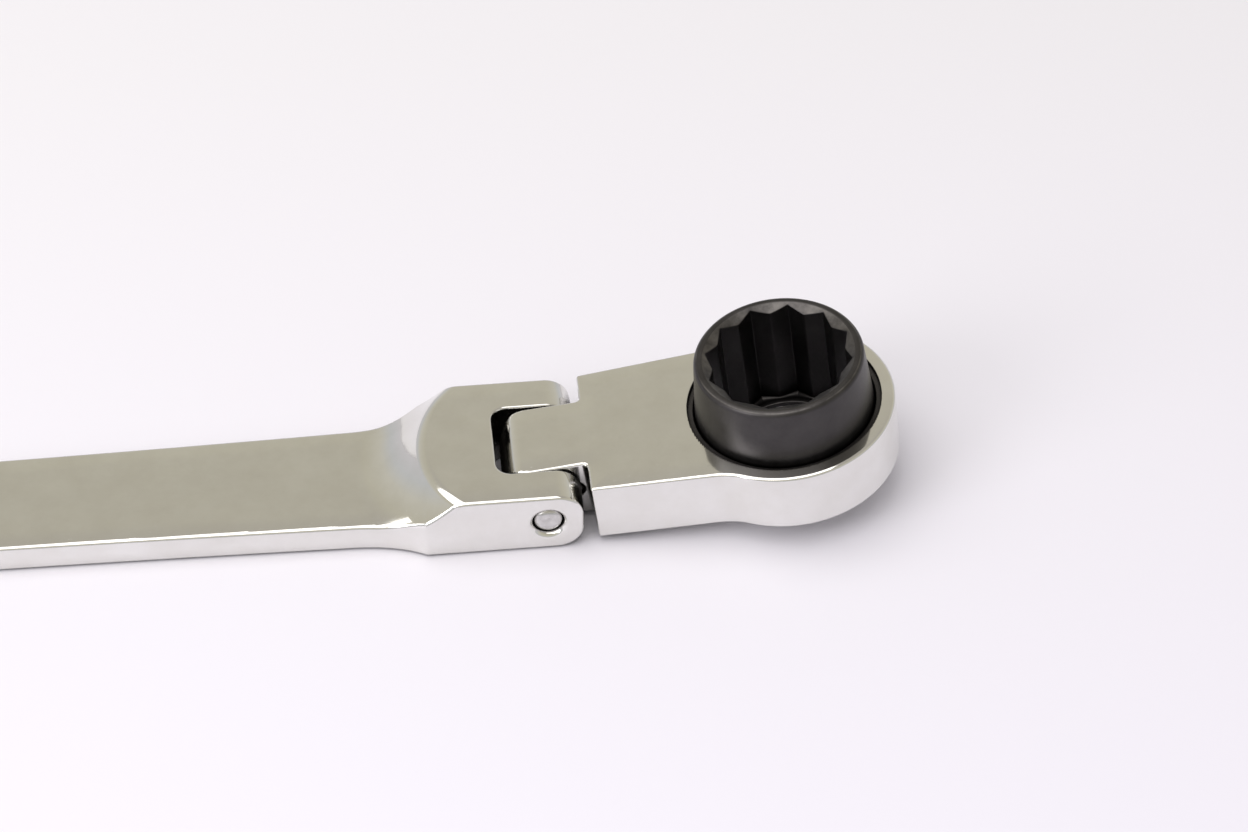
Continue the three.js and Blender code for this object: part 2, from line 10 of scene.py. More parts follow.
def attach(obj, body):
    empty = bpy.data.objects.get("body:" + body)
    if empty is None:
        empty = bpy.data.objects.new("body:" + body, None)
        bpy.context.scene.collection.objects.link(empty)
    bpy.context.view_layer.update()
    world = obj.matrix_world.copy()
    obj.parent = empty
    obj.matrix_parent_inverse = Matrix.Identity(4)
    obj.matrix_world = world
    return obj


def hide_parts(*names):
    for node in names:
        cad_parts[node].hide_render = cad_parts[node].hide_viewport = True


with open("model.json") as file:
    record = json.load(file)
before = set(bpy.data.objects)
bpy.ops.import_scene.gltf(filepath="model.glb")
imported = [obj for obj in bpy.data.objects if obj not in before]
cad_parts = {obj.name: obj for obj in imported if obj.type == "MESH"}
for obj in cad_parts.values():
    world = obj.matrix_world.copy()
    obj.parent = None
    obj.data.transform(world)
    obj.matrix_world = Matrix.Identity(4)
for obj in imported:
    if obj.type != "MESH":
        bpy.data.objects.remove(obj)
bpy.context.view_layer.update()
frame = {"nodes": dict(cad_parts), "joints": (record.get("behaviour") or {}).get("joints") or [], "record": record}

MM = 0.001

# ---------------------------------------------------------------- where the bodies are
joints = {j["name"]: j for j in frame["joints"]}
PIN = Vector(joints["flex_hinge"]["pos_m"])
SPIN_AXIS = Vector(joints["socket_spin"]["axis"])
TILT = math.atan2(-SPIN_AXIS.x, SPIN_AXIS.z)
RING_X = (Vector(joints["socket_spin"]["pos_m"]) - PIN).length / MM
LEVER_X = (Vector(joints["lever_turn"]["pos_m"]) - PIN).length / MM
PAWL_X = (Vector(joints["pawl_rock"]["pos_m"]) - PIN).length / MM
LEVER_TURN = math.radians(-joints["lever_turn"]["range_deg"][0] / 2)

HANDLE_FRAME = Matrix.Translation((PIN.x, 0, 0))
HEAD_FRAME = Matrix.Translation(PIN) @ Matrix.Rotation(-TILT, 4, "Y")
RING_FRAME = HEAD_FRAME @ Matrix.Translation((RING_X * MM, 0, 0))
LEVER_FRAME = (
    HEAD_FRAME @ Matrix.Translation((LEVER_X * MM, 0, 0)) @ Matrix.Rotation(LEVER_TURN, 4, "Z")
)

# ---------------------------------------------------------------- sizes in millimetres
# Handle, from the flex pin's axis and the bench
HANDLE_THICK = 5.2
TAIL_X = -187.5
TAIL_HALF = 10.5
WAIST_HALF = 9.6
SHANK_HALF = 11.4
SHANK_END = -33
FLARE_X = -25  # the control point of the curve between fork and shank
HANG_HOLE_R = 4
FORK_THICK = 11.6
FORK_HALF = 14.2
FORK_BACK = -20
EAR_REACH = 5.9
EAR_CORNER_R = 4.5
SLOT_HALF = 7.7
SLOT_DEPTH = 7.9
SLOT_CORNER_R = 2.6
BOSS_R = 20.5  # the raised fork ends in an arc of this radius,
BOSS_FOOT_R = 31.2  # and its ramp comes down to the bar in an arc of this one
BOSS_X = 0.5
CREST_R = 0.8
OUTER_EDGE_R = 0.6
SLOT_EDGE_R = 0.3
POLISH_DROP = 0.12  # what polishing has taken off a broad face at its outline
POLISH_WIDTH = 3.6
PIN_R = 2.5
PIN_HALF = 13.9
PIN_HOLE_R = 2.6
PIN_SINK_R = 3.2

# Head, from the flex pin's axis and the head's mid-thickness
HEAD_HALF_THICK = 5.7
RING_R = 18.4
SHOULDER_X = 7.7
SHOULDER_HALF = 13.6
NECK_GROWTH = 0.061
NECK_FILLET_R = 12
TONGUE_HALF = 7.45
TONGUE_REAR_R = 6.9
TONGUE_PLAN_R = 5.5
TONGUE_EDGE_R = 0.35
RING_EDGE_R = 0.6
SHOULDER_FILLET_R = 0.9
FRICTION_X = 5.2
FRICTION_HOLE_R = 1.5
BORE_R = 16
LIP_R = 13.6
LIP_TOP = -3.9
GROOVE_R = 16.7
GROOVE_LOW = 4.2
GROOVE_HIGH = 5.2
SNAP_GAP_TURN = math.radians(75)
SNAP_GAP_HALF = math.radians(11)
COVER_LOW = 2.8
COVER_HIGH = 4.1
WASHER_R = 14.9
WASHER_LOW = -3.85
WASHER_HIGH = -3.3
RING_PLAY = 0.15
POCKET_TOP = 2.9
PAWL_HOLE_R = 1.3
PAWL_HOLE_TOP = 4.4
PLATE_LOW = -4.7
PLATE_HIGH = -3.3
PLATE_NOSE_R = 15.2
PLATE_NOSE_X = 28.2
PLATE_BACK_X = 9.9
PLATE_HALF = 12.6
SCREW_X = 12.4
SCREW_Y = 6.6
SCREW_R = 1.2
SCREW_HEAD_R = 2.1
SHAFT_R = 3.2
SHAFT_TOP = 2.6
CLIP_ROOM_R = 4.45
CLIP_ROOM_TOP = -2.3
PLUNGER_Z = -0.3
PLUNGER_BORE_R = 1.1
HUB_R = 4.2
LEVER_LOW = -6.9
TAB_REACH = 8.8
TAB_ROOT_HALF = 3.2
TAB_TIP_HALF = 1.9
RIB_X = 7.4
RIB_SPAN = 2.4  # the ribs run this far either way from their middle
RIB_PITCH = 1.2
RIB_DEPTH = 0.28

# Drive socket
HALF_FLATS = 10.5
SOCKET_R = 14
SOCKET_FOOT_R = 14.85
SOCKET_FOOT_TOP = 5
SOCKET_EDGE_R = 1.0
STOP_R = 9.4
STOP_TOP = -4.3
SOCKET_TOP = 16
MOUTH_R = 12.6
MOUTH_SLOPE = 1.732  # how much the mouth's radius shrinks for each millimetre down
JOURNAL_R = 13.4
JOURNAL_LOW = -5.5
TOOTH_TIP_R = 15.75
TOOTH_ROOT_R = 14.95
TEETH_LOW = -3.2
TEETH_HIGH = 2.6
TOOTH_PITCH = math.radians(5)


# ---------------------------------------------------------------- signed distances
# Each returns millimetres to a surface, negative inside, for numbers or whole grids of them.
def rounded(radius, *parts):
    """What all the parts share, with its edges rounded."""
    spill = sum(np.maximum(part + radius, 0) ** 2 for part in parts)
    return np.minimum(most(*parts), -radius) + np.sqrt(spill)


def filleted(radius, *parts):
    """All the parts together, with the corners between them filled."""
    spill = sum(np.maximum(radius - part, 0) ** 2 for part in parts)
    return np.maximum(least(*parts), radius) - np.sqrt(spill)


def most(*parts):
    result = parts[0]
    for part in parts[1:]:
        result = np.maximum(result, part)
    return result


def least(*parts):
    return -most(*[-part for part in parts])


def rounded_box(x, y, half_x, half_y, radius):
    qx = np.abs(x) - half_x + radius
    qy = np.abs(y) - half_y + radius
    outside = np.hypot(np.maximum(qx, 0), np.maximum(qy, 0))
    return outside + np.minimum(np.maximum(qx, qy), 0) - radius


def outline(x, y, points):
    """A closed polygon in plan."""
    nearest = np.inf
    inside = False
    for (ax, ay), (bx, by) in zip(points, points[1:] + points[:1]):
        ex, ey = bx - ax, by - ay
        along = np.clip(((x - ax) * ex + (y - ay) * ey) / (ex * ex + ey * ey), 0, 1)
        nearest = np.minimum(nearest, (x - ax - along * ex) ** 2 + (y - ay - along * ey) ** 2)
        if ey:
            crosses = ((ay > y) != (by > y)) & (x < ex * (y - ay) / ey + ax)
            inside = inside ^ crosses
    return np.where(inside, -1, 1) * np.sqrt(nearest)


def cylinder(u, v, radius):
    return np.hypot(u, v) - radius


def cone(reach, radius, depth):
    """A countersink at 45 degrees, as wide as the radius where the depth is 0."""
    return (reach - radius + depth) * math.sqrt(0.5)


def between(z, low, high):
    return np.abs(z - (low + high) / 2) - (high - low) / 2


# ---------------------------------------------------------------- distance field to mesh
def ticks(*spans):
    """Grid lines: (start, step) pairs and a last end value."""
    lines = []
    for (start, step), after in zip(spans[:-1], spans[1:]):
        end = after[0] if isinstance(after, tuple) else after
        count = max(1, round((end - start) / step))
        lines.extend(np.linspace(start, end, count, endpoint=False))
    return np.array(lines + [spans[-1]], float)


def mirrored(lines):
    """Grid lines from 0 outwards, repeated on the negative side."""
    return np.concatenate([-lines[:0:-1], lines])


def gradient(field, points, step=0.004):
    slope = np.empty_like(points)
    for axis in range(3):
        ahead, behind = points.copy(), points.copy()
        ahead[:, axis] += step
        behind[:, axis] -= step
        slope[:, axis] = (field(*ahead.T) - field(*behind.T)) / (2 * step)
    return slope


def net(field, xs, ys, zs):
    """The field's zero surface as one point in each crossed cell and a quad for each crossed edge."""
    grid = (xs, ys, zs)
    value = np.broadcast_to(
        field(xs[:, None, None], ys[None, :, None], zs[None, None, :]),
        (len(xs), len(ys), len(zs)),
    )
    inside = value < 0
    cell_shape = [len(lines) - 1 for lines in grid]
    edge_cells, edge_points = [], []
    for axis in range(3):
        near = [slice(None)] * 3
        far = [slice(None)] * 3
        near[axis], far[axis] = slice(None, -1), slice(1, None)
        near, far = tuple(near), tuple(far)
        index = np.array(np.nonzero(inside[near] != inside[far]))
        a = value[near][tuple(index)]
        b = value[far][tuple(index)]
        point = np.array([grid[k][index[k]] for k in range(3)])
        step = grid[axis][index[axis] + 1] - grid[axis][index[axis]]
        point[axis] += step * a / (a - b)
        second, third = (axis + 1) % 3, (axis + 2) % 3
        corners = []
        for back_second, back_third in ((1, 1), (0, 1), (0, 0), (1, 0)):
            cell = index.copy()
            cell[second] -= back_second
            cell[third] -= back_third
            corners.append(np.ravel_multi_index(cell, cell_shape))
        corners = np.array(corners).T
        leaving = a < 0
        corners[~leaving] = corners[~leaving][:, ::-1]
        edge_cells.append(corners)
        edge_points.append(point.T)
    quads = np.concatenate(edge_cells)
    crossing = np.repeat(np.concatenate(edge_points), 4, axis=0)
    cells, numbers = np.unique(quads.ravel(), return_inverse=True)
    numbers = numbers.ravel()
    share = np.bincount(numbers)
    points = np.stack([np.bincount(numbers, crossing[:, k]) / share for k in range(3)], 1)
    return points, numbers.reshape(-1, 4)


def carve(name, field, xs, ys, zs, place, body):
    """A piece whose surface is exactly where the field is zero, with the field's own normals."""
    points, quads = net(field, xs, ys, zs)
    for _ in range(4):
        slope = gradient(field, points)
        steep = np.maximum((slope**2).sum(1), 0.3)
        move = slope * (field(*points.T) / steep)[:, None]
        points -= np.clip(move, -0.2, 0.2)
    slope = gradient(field, points)
    normals = slope / np.maximum(np.linalg.norm(slope, axis=1), 1e-6)[:, None]
    piece = build(name, points, quads, place, body)
    piece.data.normals_split_custom_set_from_vertices(normals.tolist())
    return piece


def build(name, points, faces, place, body):
    """A smooth-shaded mesh object from points in millimetres, riding on a CAD body."""
    mesh = bpy.data.meshes.new(name)
    mesh.from_pydata((np.asarray(points) * MM).tolist(), [], [list(map(int, f)) for f in faces])
    mesh.polygons.foreach_set("use_smooth", [True] * len(mesh.polygons))
    mesh.update()
    piece = bpy.data.objects.new(name, mesh)
    bpy.context.scene.collection.objects.link(piece)
    piece.matrix_world = place
    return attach(piece, body)


# ---------------------------------------------------------------- turned pieces
def softened(profile, radius, steps=4):
    """A closed (radius, height) loop with each of its corners rounded."""
    result = []
    count = len(profile)
    for i in range(count):
        before, corner, after = (np.array(profile[(i + k) % count], float) for k in (-1, 0, 1))
        cut_in = before - corner
        cut_out = after - corner
        r = min(radius, 0.45 * np.linalg.norm(cut_in), 0.45 * np.linalg.norm(cut_out))
        start = corner + cut_in / np.linalg.norm(cut_in) * r
        end = corner + cut_out / np.linalg.norm(cut_out) * r
        for t in np.linspace(0, 1, steps + 1):
            result.append((1 - t) ** 2 * start + 2 * t * (1 - t) * corner + t**2 * end)
    return result


def hoop(name, rows, columns, place, body, whole=True):
    """A turned piece from (radius, height) rows, whose radius may be a function of the angle.

    A whole one closes on itself as a ring does. Otherwise its first and last rows get flat ends.
    """
    angles = np.linspace(0, 2 * math.pi, columns, endpoint=False)
    points = []
    for radius, height in rows:
        radius = radius(angles) if callable(radius) else np.full(columns, float(radius))
        level = np.full(columns, float(height))
        points.append(np.stack([radius * np.cos(angles), radius * np.sin(angles), level], 1))
    points = np.concatenate(points)
    count = len(rows)
    bands = np.arange(count if whole else count - 1)
    row, column = np.meshgrid(bands, np.arange(columns), indexing="ij")
    row, column = row.ravel(), column.ravel()
    next_row, next_column = (row + 1) % count, (column + 1) % columns
    faces = [
        row * columns + column,
        row * columns + next_column,
        next_row * columns + next_column,
        next_row * columns + column,
    ]
    faces = np.stack(faces, 1).tolist()
    if not whole:
        last = (count - 1) * columns
        faces.append(list(range(columns))[::-1])
        faces.append(list(range(last, last + columns)))
    if volume(points, faces) < 0:
        faces = [face[::-1] for face in faces]
    piece = build(name, points, faces, place, body)
    weighted = piece.modifiers.new("flat faces stay flat", "WEIGHTED_NORMAL")
    weighted.keep_sharp = True
    return piece


def volume(points, faces):
    """Six times the enclosed volume, negative where the faces look inwards."""
    total = 0.0
    for face in faces:
        a = points[face[0]]
        for second, third in zip(face[1:-1], face[2:]):
            total += a @ np.cross(points[second], points[third])
    return total


# ---------------------------------------------------------------- handle
def shank_half(x):
    """Half the handle's width at x."""
    back = np.clip((SHANK_END - x) / (SHANK_END - TAIL_X), 0, 1)
    shank = (1 - back) ** 2 * SHANK_HALF + 2 * back * (1 - back) * WAIST_HALF + back**2 * TAIL_HALF
    a, b = FORK_BACK - 2 * FLARE_X + SHANK_END, 2 * (FLARE_X - FORK_BACK)
    root = np.sqrt(np.maximum(b**2 - 4 * a * (FORK_BACK - x), 0))
    flare = np.clip((-b - root) / (2 * a), 0, 1)  # 0 at the fork's back, 1 at the shank's end
    widened = shank + (FORK_HALF - SHANK_HALF) * (1 - flare) ** 2
    return np.where(x > SHANK_END, widened, shank)


def polish(plan):
    """How much polishing has taken off a broad face, by the distance to its outline."""
    return POLISH_DROP * np.clip(1 + plan / POLISH_WIDTH, 0, 1) ** 2


def handle_field(x, y, z):
    side = np.abs(y)
    half = shank_half(x)
    slant = (shank_half(x + 0.05) - shank_half(x - 0.05)) / 0.1
    plan = (side - half) / np.sqrt(1 + slant**2)
    tail = cylinder(x - TAIL_X, y, TAIL_HALF)
    plan = np.where(x < TAIL_X, tail, plan)

    middle = FORK_THICK / 2
    profile = rounded_box(
        np.maximum(x - EAR_REACH + 20, 0), z - middle, 20, middle, EAR_CORNER_R
    )
    drop, run = FORK_THICK - HANDLE_THICK, BOSS_FOOT_R - BOSS_R
    left = np.clip((BOSS_FOOT_R - np.hypot(x - BOSS_X, y)) / run, 0, 2)
    ramp = (z - HANDLE_THICK - drop * left**2) / np.hypot(1, 2 * left * drop / run)

    slot = rounded_box(x + SLOT_DEPTH - 20, y, 20, SLOT_HALF, SLOT_CORNER_R)
    hang = cylinder(x - TAIL_X, y, HANG_HOLE_R)
    pin_hole = cylinder(x, z - middle, PIN_HOLE_R)
    sink = cone(np.hypot(x, z - middle), PIN_SINK_R, FORK_HALF - side)
    worn = polish(plan)
    outside = rounded(OUTER_EDGE_R, plan, rounded(CREST_R, profile, ramp) + worn)
    forged = rounded(SLOT_EDGE_R, outside, -slot)
    return rounded(0.2, forged, -pin_hole, -sink, -hang)


def make_handle():
    xs = ticks((-198.6, 0.35), (-182.5, 1.2), (-36, 0.6), (-29, 0.3), (-24, 0.24), 6.9)
    ys = mirrored(ticks((0, 0.45), (3, 0.4), (7.2, 0.22), (8.8, 0.3), (12.8, 0.22), 14.7))
    zs = ticks((-0.35, 0.14), (0.8, 0.5), (4.4, 0.14), (5.6, 0.22), (10.8, 0.14), 11.9)
    return carve("handle_forging", handle_field, xs, ys, zs, HANDLE_FRAME, "handle")


# ---------------------------------------------------------------- head
def neck_plan(x, side):
    """Plan distance to the widening neck, the ring, and the hollow curve between them."""
    slant = math.hypot(1, NECK_GROWTH)
    reach = RING_R + NECK_FILLET_R
    lift = SHOULDER_HALF - SHOULDER_X * NECK_GROWTH + NECK_FILLET_R * slant
    b = lift * NECK_GROWTH - RING_X
    c = RING_X**2 + lift**2 - reach**2
    fillet_x = (-b - math.sqrt(b * b - slant**2 * c)) / slant**2
    fillet_y = lift + NECK_GROWTH * fillet_x
    to_neck = (NECK_GROWTH / slant, -1 / slant)
    to_ring = ((RING_X - fillet_x) / reach, -fillet_y / reach)
    dx, dy = x - fillet_x, side - fillet_y
    beyond_neck = to_neck[0] * dy - to_neck[1] * dx < 0
    beyond_ring = to_ring[0] * dy - to_ring[1] * dx > 0
    neck = (side - SHOULDER_HALF - (x - SHOULDER_X) * NECK_GROWTH) / slant
    ring = cylinder(x - RING_X, side, RING_R)
    hollow = NECK_FILLET_R - np.hypot(dx, dy)
    return np.where(beyond_neck, neck, np.where(beyond_ring, ring, hollow))


def arc(radius, start, end, steps, x=0.0):
    angles = np.radians(np.linspace(start, end, steps + 1))
    return [(x + radius * math.cos(a), radius * math.sin(a)) for a in angles]


def both_sides(points):
    """An outline from its points on one side, in order from front to back."""
    return points + [(x, -y) for x, y in reversed(points)]


POCKET = both_sides([(16, 4.4), (18.6, 7.2), (21.6, 10.4), (23.6, 11.9), (27.4, 11.9), (31, 9.5)])


def plate_outline(grow=0.0):
    nose = arc(PLATE_NOSE_R - grow, 140, 220, 16, RING_X)
    half = PLATE_HALF + grow
    side = [(PLATE_NOSE_X, -half), (22.6, -half), (11.6, 3 - half), (PLATE_BACK_X - grow, 4.4 - half)]
    return nose + side + [(x, -y) for x, y in reversed(side)]


def head_side(x, z):
    """Seen from the side: round about the pin at the rear, and rounder still below it."""
    half = HEAD_HALF_THICK
    upper = rounded(0.5, np.hypot(np.minimum(x, 0), z) - TONGUE_REAR_R, z - half)
    lower = np.hypot(np.minimum(x + TONGUE_REAR_R - half, 0), z) - half
    return np.where(z > 0, upper, lower)


def head_field(x, y, z):
    side = np.abs(y)
    neck = rounded(0.5, neck_plan(x, side), SHOULDER_X - x)
    tongue = rounded_box(x + TONGUE_REAR_R - 20, y, 20, TONGUE_HALF, TONGUE_PLAN_R)
    plan = filleted(SHOULDER_FILLET_R, neck, tongue)
    edge_r = TONGUE_EDGE_R + (RING_EDGE_R - TONGUE_EDGE_R) * np.clip(x / RING_X, 0, 1)
    solid = rounded(edge_r, plan, head_side(x, z) + polish(plan))

    ring = np.hypot(x - RING_X, y)
    holes = least(
        most(ring - BORE_R, LIP_TOP - z),
        most(ring - GROOVE_R, between(z, GROOVE_LOW, GROOVE_HIGH)),
        ring - LIP_R,
        cylinder(x, z, PIN_HOLE_R),
        cylinder(x - FRICTION_X, z, FRICTION_HOLE_R),
        most(outline(x, y, POCKET), between(z, PLATE_HIGH - 1, POCKET_TOP)),
        most(outline(x, y, plate_outline(0.1)), z - PLATE_HIGH - 0.05),
        most(cylinder(x - LEVER_X, y, SHAFT_R + 0.15), z - POCKET_TOP),
        most(cylinder(x - LEVER_X, y, CLIP_ROOM_R), z - CLIP_ROOM_TOP),
        most(cylinder(x - PAWL_X, y, PAWL_HOLE_R), between(z, 0, PAWL_HOLE_TOP)),
        most(cylinder(x - SCREW_X, side - SCREW_Y, SCREW_R + 0.1), z - 1.5),
    )
    return rounded(0.22, solid, -holes)


def make_head():
    xs = ticks((-7.4, 0.22), (8.8, 0.26), 60.1)
    ys = mirrored(ticks((0, 0.3), (6.8, 0.2), (7.8, 0.26), 18.8))
    zs = ticks(
        (-6.0, 0.13), (-5.1, 0.28), (-4.1, 0.14), (-3.0, 0.4), (2.6, 0.25), (3.9, 0.2), (5.1, 0.13), 6.0
    )
    return carve("head_forging", head_field, xs, ys, zs, HEAD_FRAME, "head")


# ---------------------------------------------------------------- drive socket
def soft_most(radius, a, b):
    """The larger of two values, smoothed where they are close."""
    return (a + b) / 2 + np.sqrt((a - b) ** 2 + radius**2) / 2


def star(angles):
    """Radius of the twelve-point opening: the farther of two hexagons' walls at each angle."""
    sixth = math.pi / 3
    walls = []
    for turn in (sixth / 4, 3 * sixth / 4):
        off = (angles + turn + sixth / 2) % sixth - sixth / 2
        walls.append(HALF_FLATS / np.cos(off))
    return soft_most(0.07, *walls)


def opening(height):
    """The star's wall at a height, or the bevelled mouth where that is wider."""
    mouth = MOUTH_R - (SOCKET_TOP - height) * MOUTH_SLOPE
    return lambda angles: soft_most(0.06, star(angles), mouth)


def teeth(angles):
    """The gear's radius: a tooth's tip at angle 0 and at every pitch from there."""
    off = np.abs((angles + TOOTH_PITCH / 2) % TOOTH_PITCH - TOOTH_PITCH / 2) / TOOTH_PITCH
    rise = np.clip((0.375 - off) / 0.25, 0, 1)
    return TOOTH_ROOT_R + (TOOTH_TIP_R - TOOTH_ROOT_R) * rise


def inner_rows():
    """The stop lip's hole, the star's wall and the bevelled mouth, from the foot up."""
    stop = [(STOP_R + 0.4, JOURNAL_LOW), (STOP_R, JOURNAL_LOW + 0.4), (STOP_R, STOP_TOP - 0.3)]
    stop += [(STOP_R + 0.09, STOP_TOP - 0.09), (STOP_R + 0.3, STOP_TOP), (HALF_FLATS, STOP_TOP)]
    wall = [STOP_TOP, -4.1, -3, 4, 11, 14, *np.linspace(14.6, SOCKET_TOP - 0.12, 22)]
    mouth = [(MOUTH_R - 0.06, SOCKET_TOP - 0.05), (MOUTH_R + 0.06, SOCKET_TOP)]
    return stop + [(opening(z), z) for z in wall] + mouth


def barrel_rows():
    """The rim, its rounded edge, and the barrel that widens downwards."""
    lip = SOCKET_R - SOCKET_EDGE_R
    edge_low = SOCKET_TOP - SOCKET_EDGE_R
    rim = [(MOUTH_R + 0.2, SOCKET_TOP)]
    edge = [
        (lip + SOCKET_EDGE_R * math.sin(a), edge_low + SOCKET_EDGE_R * math.cos(a))
        for a in np.radians(np.linspace(0, 90, 10))
    ]
    taper = (SOCKET_FOOT_R - SOCKET_R) / (edge_low - SOCKET_FOOT_TOP)
    heights = np.linspace(edge_low - 0.4, SOCKET_FOOT_TOP, 6)
    barrel = [(SOCKET_R + (edge_low - z) * taper, z) for z in heights]
    foot = [(SOCKET_FOOT_R, z) for z in (SOCKET_FOOT_TOP - 0.4, TEETH_HIGH + 0.2, TEETH_HIGH)]
    return rim + edge + barrel + foot


def gear_rows():
    """The toothed band and the journal that turns in the head's lip."""
    levels = (TEETH_HIGH - 0.02, TEETH_HIGH - 0.3, TEETH_LOW + 0.3, TEETH_LOW)
    journal = [(JOURNAL_R, TEETH_LOW - 0.02), (JOURNAL_R, -4), (JOURNAL_R, JOURNAL_LOW + 0.3)]
    journal += [(JOURNAL_R - 0.09, JOURNAL_LOW + 0.09), (JOURNAL_R - 0.3, JOURNAL_LOW)]
    return [(teeth, z) for z in levels] + journal


def make_socket():
    rows = inner_rows() + barrel_rows() + gear_rows()
    return hoop("twelve_point_socket", rows, 576, RING_FRAME, "socket")


def flat_ring(name, inner, outer, low, high, edge_r, columns):
    section = [(inner, low), (outer, low), (outer, high), (inner, high)]
    return hoop(name, softened(section, edge_r), columns, RING_FRAME, "head")


def make_rings():
    inner, outer = SOCKET_FOOT_R + RING_PLAY, BORE_R - RING_PLAY
    cover = flat_ring("cover_ring", inner, outer, COVER_LOW, COVER_HIGH, 0.15, 192)
    inner = LIP_R + RING_PLAY
    washer = flat_ring("thrust_washer", inner, WASHER_R, WASHER_LOW, WASHER_HIGH, 0.12, 144)
    return cover, washer


def snap_ring_field(x, y, z):
    """A flat ring with a wedge of it missing."""
    reach = np.hypot(x, y)
    turn = SNAP_GAP_TURN
    along = x * math.cos(turn) + y * math.sin(turn)
    across = np.abs(y * math.cos(turn) - x * math.sin(turn))
    sides = reach - GROOVE_R + RING_PLAY, SOCKET_FOOT_R + 0.2 - reach
    band = rounded(0.22, *sides, between(z, GROOVE_LOW + 0.1, GROOVE_HIGH - 0.1))
    wedge = np.where(along > 0, across - along * math.tan(SNAP_GAP_HALF), across + 5)
    return rounded(0.2, band, -wedge * math.cos(SNAP_GAP_HALF))


def make_snap_ring():
    span = ticks((-17, 0.2), 17)
    return carve("snap_ring", snap_ring_field, span, span, ticks((4.1, 0.1), 5.3), RING_FRAME, "head")


# ---------------------------------------------------------------- pin, plate, screws and lever
def make_pin():
    def end(sign):
        shape = [(0.3, 0.12), (0.6, 0.04), (1.0, 0), (1.4, 0.03), (1.7, 0.12), (1.95, 0.26), (2.2, 0.47)]
        shape += [(2.38, 0.72), (2.47, 0.95), (PIN_R, 1.2), (PIN_R, 1.6)]
        return [(r, sign * (PIN_HALF - drop)) for r, drop in shape]

    rows = end(1) + end(-1)[::-1]
    stand = HEAD_FRAME @ Matrix.Rotation(math.pi / 2, 4, "X")
    return hoop("pin_rod", rows, 96, stand, "handle", whole=False)


def plate_field(x, y, z):
    side = np.abs(y)
    slab = rounded(0.25, outline(x, y, plate_outline()), between(z, PLATE_LOW, PLATE_HIGH))
    screw = np.hypot(x - SCREW_X, side - SCREW_Y)
    sink = cone(screw, SCREW_HEAD_R + 0.1, z - PLATE_LOW)
    holes = least(
        cylinder(x - LEVER_X, y, SHAFT_R + 0.35),
        most(cylinder(x - PAWL_X, y, PAWL_HOLE_R), PLATE_LOW + 0.5 - z),
        screw - SCREW_R - 0.1,
        sink,
    )
    return rounded(0.1, slab, -holes)


def make_plate():
    xs = ticks((9.4, 0.2), 30.1)
    ys = mirrored(ticks((0, 0.22), 13.1))
    zs = ticks((-4.95, 0.1), (-4.2, 0.2), (-3.6, 0.1), -3.1)
    return carve("pawl_cover", plate_field, xs, ys, zs, HEAD_FRAME, "head")


def screw_field(x, y, z):
    reach = np.hypot(x, y)
    head = cone(reach, SCREW_HEAD_R, z - PLATE_LOW)
    shape = rounded(0.1, np.minimum(head, reach - SCREW_R), PLATE_LOW - z, z - 1.2)
    angle = np.arctan2(y, x)
    hexagon = reach * np.cos((angle + math.pi / 6) % (math.pi / 3) - math.pi / 6) - 0.87
    return rounded(0.06, shape, -most(hexagon, z - PLATE_LOW - 0.9))


def make_screws():
    span = mirrored(ticks((0, 0.08), 2.3))
    zs = ticks((-4.9, 0.08), (-3.2, 0.3), (0.9, 0.08), 1.4)
    screws = []
    for side, name in ((1, "cover_screw_left"), (-1, "cover_screw_right")):
        place = HEAD_FRAME @ Matrix.Translation((SCREW_X * MM, side * SCREW_Y * MM, 0))
        screws.append(carve(name, screw_field, span, span, zs, place, "head"))
    return screws


def lever_field(x, y, z):
    """A hub with a ribbed thumb tab, and the grooved, cross-bored shaft that stands on it."""
    reach = np.hypot(x, y)
    taper = TAB_ROOT_HALF - (TAB_ROOT_HALF - TAB_TIP_HALF) * x / TAB_REACH
    tab = most(np.abs(y) - taper, x - TAB_REACH, -x)
    tab = np.minimum(tab, cylinder(x - TAB_REACH, y, TAB_TIP_HALF))
    along = np.clip(x - RIB_X, -RIB_SPAN, RIB_SPAN)
    grip = (np.cos(along * 2 * math.pi / RIB_PITCH) - 1) * RIB_DEPTH / 2
    plan = filleted(1.2, reach - HUB_R, tab)
    head = rounded(0.3, plan, z - PLATE_LOW + 0.1, LEVER_LOW - grip - z)
    shaft = rounded(0.2, reach - SHAFT_R, z - SHAFT_TOP, PLATE_LOW - 1 - z)
    seal_and_clip = least(between(z, -4.55, -3.55), between(z, -3.2, -2.45))
    grooves = most(SHAFT_R - 0.6 - reach, seal_and_clip)
    bore = most(cylinder(y, z - PLUNGER_Z, PLUNGER_BORE_R), -2.2 - x)
    return most(np.minimum(head, shaft), -grooves, -bore)


def make_lever():
    xs = ticks((-4.5, 0.16), 11)
    ys = mirrored(ticks((0, 0.16), 4.5))
    zs = ticks((-7.1, 0.12), (-4.5, 0.15), (-2.2, 0.3), (2.2, 0.12), 2.8)
    return carve("thumb_lever", lever_field, xs, ys, zs, LEVER_FRAME, "lever")


# ---------------------------------------------------------------- materials
# The color sockets of a Mix node, which share their names with those of its other data types
MIX_A, MIX_B, MIX_RESULT = 6, 7, 2


